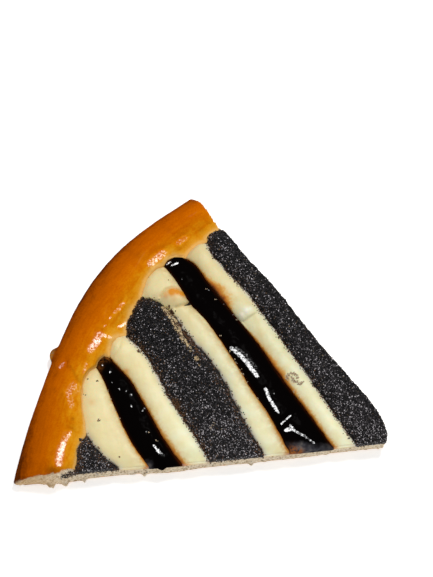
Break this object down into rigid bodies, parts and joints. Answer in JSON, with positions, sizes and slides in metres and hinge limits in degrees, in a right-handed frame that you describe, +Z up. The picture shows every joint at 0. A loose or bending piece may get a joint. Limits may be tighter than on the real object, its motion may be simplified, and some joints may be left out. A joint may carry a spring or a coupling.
{
  "type": "kolache slice",
  "caption": "Wedge of a large round yeast kolache: glazed raised rim, thin base, and stripes of ground poppy seed, sweet quark and plum jam that run across both cuts.",
  "frame": {"origin": "middle of the slice's box, on the flat underside", "axes": "+X along the front cut towards the tip, +Y from the front cut back to the far end of the rim, +Z up out of the fillings"},
  "size_m": [0.1264, 0.0994, 0.0125],
  "materials": {
    "dough": "baked yeast dough: glossy golden glaze on the rim, pale open crumb on the cuts, dry browned underside",
    "poppy": "ground poppy seed, matt and grainy",
    "quark": "baked sweet quark, soft satin",
    "jam": "thick boiled plum jam, wet gloss"
  },
  "bodies": {
    "root": {"dough": "dough", "poppy_edge": "poppy", "quark_edge": "quark", "jam_long": "jam", "quark_long": "quark", "poppy_middle": "poppy", "quark_middle": "quark", "jam_short": "jam", "quark_corner": "quark", "poppy_corner": "poppy"}
  },
  "joints": []
}
